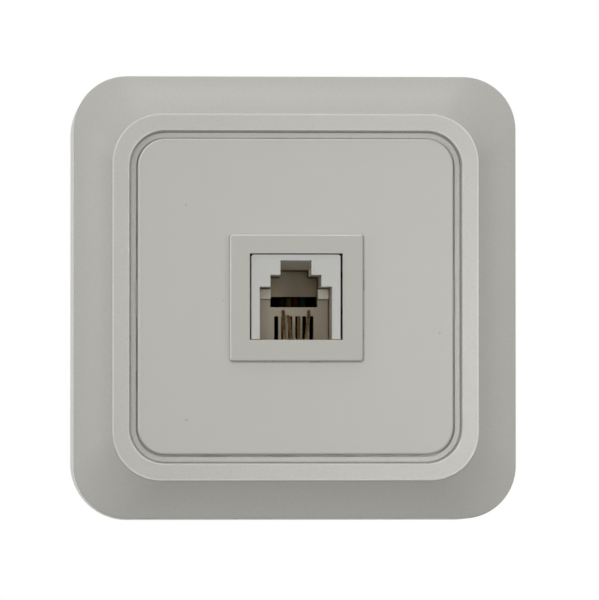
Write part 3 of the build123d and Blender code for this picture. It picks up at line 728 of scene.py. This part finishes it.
# %% Metals
def metal(name, base, tarnish, tarnish_share, roughness, line_scale, relief):
    """Metal with lines along one direction, given as the scale along X, Y and Z."""
    finish, tree, shader, place = new_finish(name)
    shader.inputs["Metallic"].default_value = 1.0
    surface = use_group(
        tree, drawn_metal, place=place, line_scale=line_scale, colour=base, tarnish=tarnish,
        tarnish_share=tarnish_share, roughness=roughness, roughness_spread=0.16,
    )
    feed(tree, shader.inputs["Base Color"], surface["Colour"])
    feed(tree, shader.inputs["Roughness"], surface["Roughness"])
    bump(tree, shader, surface["Height"], relief)
    return finish


upright_lines = (14000.0, 14000.0, 900.0)
level_lines = (900.0, 14000.0, 14000.0)
even_grain = (5000.0, 5000.0, 5000.0)
# Name, colour, tarnish, tarnish share, roughness, scale of the lines, their depth in metres
metals = (
    ("contact", colour(228, 202, 150), colour(128, 104, 66), 0.6, 0.28, upright_lines, 2e-6),
    ("brass", colour(214, 184, 120), colour(168, 128, 74), 0.5, 0.32, level_lines, 2e-6),
    ("washer", colour(196, 198, 200), colour(160, 160, 152), 0.4, 0.36, level_lines, 3e-6),
    ("screw", colour(200, 201, 202), colour(164, 164, 158), 0.4, 0.3, even_grain, 2e-6),
    ("spade", colour(212, 210, 205), colour(170, 164, 150), 0.35, 0.32, level_lines, 2e-6),
)
metal_finishes = {}
for metal_name, *values in metals:
    metal_finishes[metal_name] = metal(f"{metal_name}_finish", *values)
print("metals:", ", ".join(metal_finishes))

# %% Leads
lead_colours = {
    "black": colour(20, 20, 22),
    "yellow": colour(186, 150, 40),
    "red": colour(140, 32, 28),
    "green": colour(34, 100, 52),
}
lead_finishes = {}
for lead_name, lead_colour in lead_colours.items():
    finish = plastic(
        f"lead_{lead_name}_finish", lead_colour, 0.42, 1.5e-6, grain_size=0.1 * mm, tone=0.08,
        speck_rarity=1.0,
    )
    # Behind the comb the leads get painted shade.
    darken(finish, inside_jack(finish), strength=0.93, new_roughness=0.9)
    finish.node_tree.nodes["Principled BSDF"].inputs["Specular IOR Level"].default_value = 0.25
    lead_finishes[lead_name] = finish
print("leads:", ", ".join(lead_finishes))

# %% [markdown]
# ## Pieces whose form is right
#
# The frame, panel, jack housing, contacts, leads, forks and terminal plates have smooth, exact surfaces in
# the construction model, so they are kept as they are and only take their finish. The jack housing's edges
# stay sharp, because a bevel tears at its stepped mouth.

# %% Finish the kept pieces
kept = {"cover_frame": frame_finish, "centre_panel": panel_finish, "jack_housing": jack_finish}
for number in range(1, 5):
    kept[f"contact_{number}"] = metal_finishes["contact"]
    kept[f"terminal_plate_{number}"] = metal_finishes["brass"]
for lead_name, finish in lead_finishes.items():
    kept[f"lead_{lead_name}"] = finish
    kept[f"spade_{lead_name}"] = metal_finishes["spade"]
for node_name, finish in kept.items():
    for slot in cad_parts[node_name].material_slots:
        slot.material = finish
print(len(kept), "pieces finished")

# %% [markdown]
# ## Moulded pieces with eased edges
#
# No moulded edge is knife-sharp. The contact carrier and the base get copies whose sharp edges have a small
# round, which catches a line of light. A copy of a node starts as loose triangles, so its doubles are
# merged, its stored normals are dropped and its flat faces are joined before the Bevel. Weighted normals
# then keep the large faces flat in the light.

# %% Tools for meshes
weld_distance = 0.002 * mm
flat_limit = math.radians(0.5)


def object_of(mesh, name):
    """A new object for a mesh, linked to the scene."""
    piece = bpy.data.objects.new(name, mesh)
    scene.collection.objects.link(piece)
    return piece


def evaluated_mesh(piece, name):
    """The mesh of an object after its modifiers."""
    bpy.context.view_layer.update()
    depsgraph = bpy.context.evaluated_depsgraph_get()
    mesh = bpy.data.meshes.new_from_object(piece.evaluated_get(depsgraph))
    mesh.name = name
    return mesh


def set_smooth(mesh, edge_angle=35.0):
    """Smooth shading, with the edges sharper than an angle kept sharp."""
    mesh.polygons.foreach_set("use_smooth", [True] * len(mesh.polygons))
    mesh.set_sharp_from_angle(angle=math.radians(edge_angle))


def ease_edges(piece, width, segments=2, edge_angle=35.0):
    """Rounds a piece's sharp edges a little, with normals that keep its faces flat, and makes it real."""
    edges = piece.modifiers.new("edges", "BEVEL")
    edges.width = width
    edges.segments = segments
    edges.limit_method = "ANGLE"
    edges.angle_limit = math.radians(edge_angle)
    edges.use_clamp_overlap = False
    eased = evaluated_mesh(piece, piece.data.name)
    piece.modifiers.clear()
    piece.data = eased
    set_smooth(eased, edge_angle=50.0)
    weights = piece.modifiers.new("weights", "WEIGHTED_NORMAL")
    weights.keep_sharp = True
    weights.weight = 100
    piece.data = evaluated_mesh(piece, piece.data.name)
    piece.modifiers.clear()


def stands_for(piece, slot_name, *nodes):
    """Makes a piece ride on the socket in place of its nodes of the construction model."""
    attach(piece, "root")
    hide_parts(*nodes)


print("mesh tools ready")

# %% Copies with eased edges
def dressed_copy(node_name, name, finish, slot_name, width):
    """Puts a copy of a node with eased edges in the node's place."""
    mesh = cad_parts[node_name].data.copy()
    mesh.name = name
    work = bmesh.new()
    work.from_mesh(mesh)
    bmesh.ops.remove_doubles(work, verts=work.verts, dist=weld_distance)
    bmesh.ops.dissolve_limit(
        work, angle_limit=flat_limit, use_dissolve_boundaries=False, verts=work.verts, edges=work.edges
    )
    work.to_mesh(mesh)
    work.free()
    if "custom_normal" in mesh.attributes:
        mesh.attributes.remove(mesh.attributes["custom_normal"])
    mesh.materials.clear()
    mesh.materials.append(finish)
    piece = object_of(mesh, name)
    ease_edges(piece, width)
    stands_for(piece, slot_name, node_name)
    print(name, len(piece.data.polygons), "faces")


dressed_copy("contact_carrier", "contact_comb", carrier_finish, "carrier_plastic", 0.06 * mm)
dressed_copy("base", "base_plate", base_finish, "base_plastic", 0.12 * mm)

# %% [markdown]
# ## Fasteners
#
# The construction model has plain shanks and sharp slots. Here the screws get threads and eased heads and
# slots, and the clamp washers get rounded corners. Each kind of screw is made once, as a mesh, and a tree
# of Geometry Nodes sets copies of it on their places, each turned by a different angle, as hands leave them.
#
# A screw is a stack of rings round the -Y axis. In the thread the radius goes in and out as a triangle
# wave of the height, and the wave's start moves on with the angle, which makes the ridge a helix.

# %% Turned parts
ring_points = 40
rows_per_turn = 8


def thread_radius(crest, depth, height, pitch, angle_share):
    """Radius of a thread at a height and a share of a full turn."""
    phase = (height / pitch + angle_share) % 1.0
    return crest - depth * abs(2 * phase - 1)


def turned_mesh(name, profile, shank_radius, shank_length, pitch, thread_depth, head_start=0.0):
    """A screw along -Y. The profile is the head's outline, from the shank at head_start to its top."""
    work = bmesh.new()
    rings = []

    def add_ring(height, radius_at):
        """One ring of points at a height, with the radius given for each share of a turn."""
        ring = []
        for step in range(ring_points):
            share = step / ring_points
            radius = radius_at(share)
            angle = 2 * math.pi * share
            ring.append(work.verts.new((radius * math.cos(angle), -height, radius * math.sin(angle))))
        rings.append(ring)

    tip_taper = 0.6
    add_ring(-shank_length, lambda share: tip_taper * shank_radius)
    row_height = pitch / rows_per_turn
    rows = int((shank_length + head_start - 2 * row_height) / row_height)
    for row in range(rows):
        height = -shank_length + (row + 1) * row_height
        fade = min(1.0, (row + 1) / rows_per_turn)
        add_ring(height, lambda share, h=height, f=fade: min(
            thread_radius(shank_radius, thread_depth, h, pitch, share),
            shank_radius * (tip_taper + (1 - tip_taper) * f),
        ))
    for height, radius in profile:
        add_ring(height, lambda share, r=radius: r)
    for lower, upper in zip(rings, rings[1:]):
        for step in range(ring_points):
            after = (step + 1) % ring_points
            work.faces.new((lower[step], upper[step], upper[after], lower[after]))
    work.faces.new(rings[0])
    work.faces.new(list(reversed(rings[-1])))
    bmesh.ops.recalc_face_normals(work, faces=work.faces)
    mesh = bpy.data.meshes.new(name)
    work.to_mesh(mesh)
    work.free()
    return mesh


print("thread of", ring_points, "points a ring and", rows_per_turn, "rings a turn")

# %% [markdown]
# A slot is cut with a Boolean, which gives clean edges where the bar leaves the round head.

# %% Screwdriver slots
slot_width = 0.8 * mm
slot_depth = 0.7 * mm
edge_ease = 0.06 * mm
slot_overshoot = 1.2


def slotted(mesh, name, head_top, reach):
    """Cuts a screwdriver slot across a head. The cutter flares at the top, which eases the slot's edges."""
    half = slot_width / 2
    floor_height = head_top - slot_depth
    above = head_top + slot_depth
    outline = (
        (-half, floor_height), (half, floor_height), (half, head_top - edge_ease),
        (half + edge_ease, head_top), (half + edge_ease, above),
        (-half - edge_ease, above), (-half - edge_ease, head_top), (-half, head_top - edge_ease),
    )
    work = bmesh.new()
    ends = []
    for x in (-slot_overshoot * reach, slot_overshoot * reach):
        ends.append([work.verts.new((x, -height, across)) for across, height in outline])
    for number in range(len(outline)):
        after = (number + 1) % len(outline)
        work.faces.new((ends[0][number], ends[1][number], ends[1][after], ends[0][after]))
    work.faces.new(ends[0])
    work.faces.new(list(reversed(ends[1])))
    bmesh.ops.recalc_face_normals(work, faces=work.faces)
    cutter_mesh = bpy.data.meshes.new("slot_cutter")
    work.to_mesh(cutter_mesh)
    work.free()
    cutter = object_of(cutter_mesh, "slot_cutter")
    blank = object_of(mesh, f"{name}_blank")
    cut = blank.modifiers.new("slot", "BOOLEAN")
    cut.operation = "DIFFERENCE"
    cut.solver = "EXACT"
    cut.object = cutter
    result = evaluated_mesh(blank, name)
    bpy.data.objects.remove(cutter)
    bpy.data.objects.remove(blank)
    set_smooth(result)
    return result


print("slot", round(slot_width / mm, 2), "by", round(slot_depth / mm, 2), "mm")

# %% Terminal screw
head_radius = 2.75 * mm
head_height = 1.9 * mm
head_round = 0.5 * mm
shank_radius = 1.45 * mm
shank_length = 5.4 * mm
round_steps = 5
cheese_head = [(0.0, shank_radius), (0.0, head_radius - edge_ease), (edge_ease, head_radius)]
for step in range(round_steps + 1):
    turn = math.pi / 2 * step / round_steps
    height = head_height - head_round + head_round * math.sin(turn)
    cheese_head.append((height, head_radius - head_round + head_round * math.cos(turn)))
terminal_pitch = 0.6 * mm
thread_depth = 0.25 * mm
terminal_blank = turned_mesh(
    "terminal_blank", cheese_head, shank_radius, shank_length, terminal_pitch, thread_depth
)
terminal_screw = slotted(terminal_blank, "terminal_screw", head_height, head_radius)
print("terminal screw:", len(terminal_screw.polygons), "faces")

# %% [markdown]
# The two screws that hold the cover have countersunk heads, flush with the lugs that they pass through. The
# same ring function makes them: the head's outline is a cone.

# %% Countersunk screw
sunk_radius = 2.6 * mm
sunk_shank = 1.25 * mm
sunk_length = 10.0 * mm
cone_height = sunk_radius - sunk_shank
cover_pitch = 0.9 * mm
sunk_head = [
    (-cone_height, sunk_shank),
    (-edge_ease, sunk_radius - edge_ease),
    (0.0, sunk_radius - 2 * edge_ease),
]
cover_blank = turned_mesh(
    "cover_blank", sunk_head, sunk_shank, sunk_length, cover_pitch, thread_depth, head_start=-cone_height
)
cover_screw = slotted(cover_blank, "cover_screw", 0.0, sunk_radius)
print("cover screw:", len(cover_screw.polygons), "faces")

# %% [markdown]
# The tree below takes points as its own geometry and stands a copy of a master object on each of them. The
# turn about the screw's axis is random within a limit, from a fixed seed. Its last two nodes make the
# copies real and give them their finish, because an exported model keeps neither instances nor modifiers.

# %% Geometry nodes that place fasteners
def node_group_for_pieces(name, inputs):
    """A geometry tree with a geometry input, the named inputs and a geometry output."""
    tree = bpy.data.node_groups.new(name, "GeometryNodeTree")
    kinds = {
        "size": "NodeSocketFloat",
        "count": "NodeSocketInt",
        "object": "NodeSocketObject",
        "material": "NodeSocketMaterial",
    }
    tree.interface.new_socket("Geometry", in_out="INPUT", socket_type="NodeSocketGeometry")
    for socket_name, kind in inputs.items():
        tree.interface.new_socket(socket_name, in_out="INPUT", socket_type=kinds[kind])
    tree.interface.new_socket("Geometry", in_out="OUTPUT", socket_type="NodeSocketGeometry")
    return tree, add(tree, "NodeGroupInput").outputs, add(tree, "NodeGroupOutput").inputs


def finish_tree(tree, enter, leave, instances):
    """Ends a geometry tree: the copies become real and get their material."""
    real = make(tree, "GeometryNodeRealizeInstances", {"Geometry": instances})
    coated = make(tree, "GeometryNodeSetMaterial", {"Geometry": real, "Material": enter["Material"]})
    feed(tree, leave[0], coated)


def turned_copies(tree, enter, copy):
    """Stands a copy on each point, turned about Y by a random angle from a seed."""
    chance = add(tree, "FunctionNodeRandomValue", data_type="FLOAT")
    feed(tree, chance.inputs["Min"], calculate(tree, "MULTIPLY", enter["Largest Turn"], -1.0))
    feed(tree, chance.inputs["Max"], enter["Largest Turn"])
    feed(tree, chance.inputs["Seed"], enter["Seed"])
    angles = make(tree, "ShaderNodeCombineXYZ", {"Y": chance.outputs["Value"]})
    turn = make(tree, "FunctionNodeEulerToRotation", {0: angles})
    values = {"Points": enter["Geometry"], "Instance": copy, "Rotation": turn}
    return make(tree, "GeometryNodeInstanceOnPoints", values)


screw_setter, enter, leave = node_group_for_pieces(
    "screw_setter", {"Master": "object", "Largest Turn": "size", "Seed": "count", "Material": "material"}
)
master = add(screw_setter, "GeometryNodeObjectInfo")
feed(screw_setter, master.inputs["Object"], enter["Master"])
finish_tree(screw_setter, enter, leave, turned_copies(screw_setter, enter, master.outputs["Geometry"]))
print("tree", screw_setter.name, "with", len(screw_setter.nodes), "nodes")

# %% [markdown]
# A clamp washer is a square of steel with rounded corners and a hole. Curves say that best: a square with
# its corners filleted and a circle, filled to a face, then extruded by the thickness. The face that the
# extrusion leaves behind is put back, turned over, and the doubles are merged, so that the washer is closed.

# %% Geometry nodes that make washers
washer_setter, enter, leave = node_group_for_pieces(
    "washer_setter",
    {
        "Side": "size", "Corner": "size", "Hole": "size", "Thickness": "size", "Largest Turn": "size",
        "Seed": "count", "Material": "material",
    },
)
tree = washer_setter
corner_points = 6


def joined(*parts):
    """Joins geometry in the washer's tree."""
    node = add(washer_setter, "GeometryNodeJoinGeometry")
    for part in parts:
        feed(washer_setter, node.inputs[0], part)
    return node.outputs[0]


sides = {"Width": enter["Side"], "Height": enter["Side"]}
square = make(tree, "GeometryNodeCurvePrimitiveQuadrilateral", sides)
rounding = {"Curve": square, "Count": corner_points, "Radius": enter["Corner"]}
rounded = make(tree, "GeometryNodeFilletCurve", rounding, mode="POLY")
circle = {"Resolution": ring_points, "Radius": enter["Hole"]}
hole = make(tree, "GeometryNodeCurvePrimitiveCircle", circle)
face = make(tree, "GeometryNodeFillCurve", {"Curve": joined(rounded, hole)}, mode="TRIANGLES")
lift = {"Mesh": face, "Offset Scale": enter["Thickness"], "Individual": False}
raised = make(tree, "GeometryNodeExtrudeMesh", lift, mode="FACES")
under = make(tree, "GeometryNodeFlipFaces", {"Mesh": face})
closed = {"Geometry": joined(raised, under), "Distance": weld_distance}
welded = make(tree, "GeometryNodeMergeByDistance", closed)
upright = make(tree, "GeometryNodeTransform", {"Geometry": welded, "Rotation": (math.pi / 2, 0.0, 0.0)})
finish_tree(tree, enter, leave, turned_copies(tree, enter, upright))
print("tree", washer_setter.name, "with", len(washer_setter.nodes), "nodes")

# %% [markdown]
# The places come from the construction model's boxes, so the fasteners stay where the model holds them.
# A modifier's input is set by its socket's identifier, before the tree first runs. The copies come out with
# an empty material slot before their own, so the slots are cleared and the finish is set again.

# %% Placing helper
def placed(name, places, tree, values):
    """Runs a geometry tree on a mesh of points and returns a plain object with the result."""
    points = bpy.data.meshes.new(f"{name}_places")
    points.from_pydata(places, [], [])
    carrier = object_of(points, f"{name}_places")
    setter = carrier.modifiers.new("setter", "NODES")
    setter.node_group = tree
    for item in tree.interface.items_tree:
        if item.in_out == "INPUT" and item.name in values:
            setter[item.identifier] = values[item.name]
    mesh = evaluated_mesh(carrier, name)
    mesh.materials.clear()
    mesh.materials.append(values["Material"])
    piece = object_of(mesh, name)
    bpy.data.objects.remove(carrier)
    return piece


print("two trees to place with:", screw_setter.name, washer_setter.name)

# %% Terminal screws
largest_turn = math.radians(80)
screw_finish = metal_finishes["screw"]
terminal_low, terminal_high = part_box("terminal_screws")
terminal_x = terminal_high.x - head_radius
terminal_z = terminal_high.z - head_radius
corners = [(x * terminal_x, z * terminal_z) for x in (-1, 1) for z in (-1, 1)]
screw_places = [(x, terminal_low.y + head_height, z) for x, z in corners]
terminal_master = object_of(terminal_screw, "terminal_master")
terminal_set = placed("terminal_screw_set", screw_places, screw_setter, {
    "Master": terminal_master, "Largest Turn": largest_turn, "Seed": 4, "Material": screw_finish,
})
stands_for(terminal_set, "screw_steel", "terminal_screws")
bpy.data.objects.remove(terminal_master)
print(terminal_set.name, len(terminal_set.data.polygons), "faces")

# %% Cover screws
cover_low, cover_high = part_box("cover_screws")
cover_z = cover_high.z - sunk_radius
cover_places = [(0.0, cover_low.y, side * cover_z) for side in (-1, 1)]
cover_master = object_of(cover_screw, "cover_master")
cover_set = placed("cover_screw_set", cover_places, screw_setter, {
    "Master": cover_master, "Largest Turn": largest_turn, "Seed": 9, "Material": screw_finish,
})
stands_for(cover_set, "screw_steel", "cover_screws")
bpy.data.objects.remove(cover_master)
print(cover_set.name, len(cover_set.data.polygons), "faces")

# %% Clamp washers
washer_low, washer_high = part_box("terminal_washers")
washer_side = 2 * (washer_high.x - terminal_x)
washer_places = [(x, washer_high.y, z) for x, z in corners]
washer_set = placed("terminal_washer_set", washer_places, washer_setter, {
    "Side": washer_side, "Corner": 0.5 * mm, "Hole": 1.6 * mm,
    "Thickness": washer_high.y - washer_low.y,
    "Largest Turn": 0.0, "Seed": 2, "Material": metal_finishes["washer"],
})
ease_edges(washer_set, 0.06 * mm)
stands_for(washer_set, "washer_steel", "terminal_washers")
print(washer_set.name, len(washer_set.data.polygons), "faces, side", round(washer_side / mm, 2), "mm")
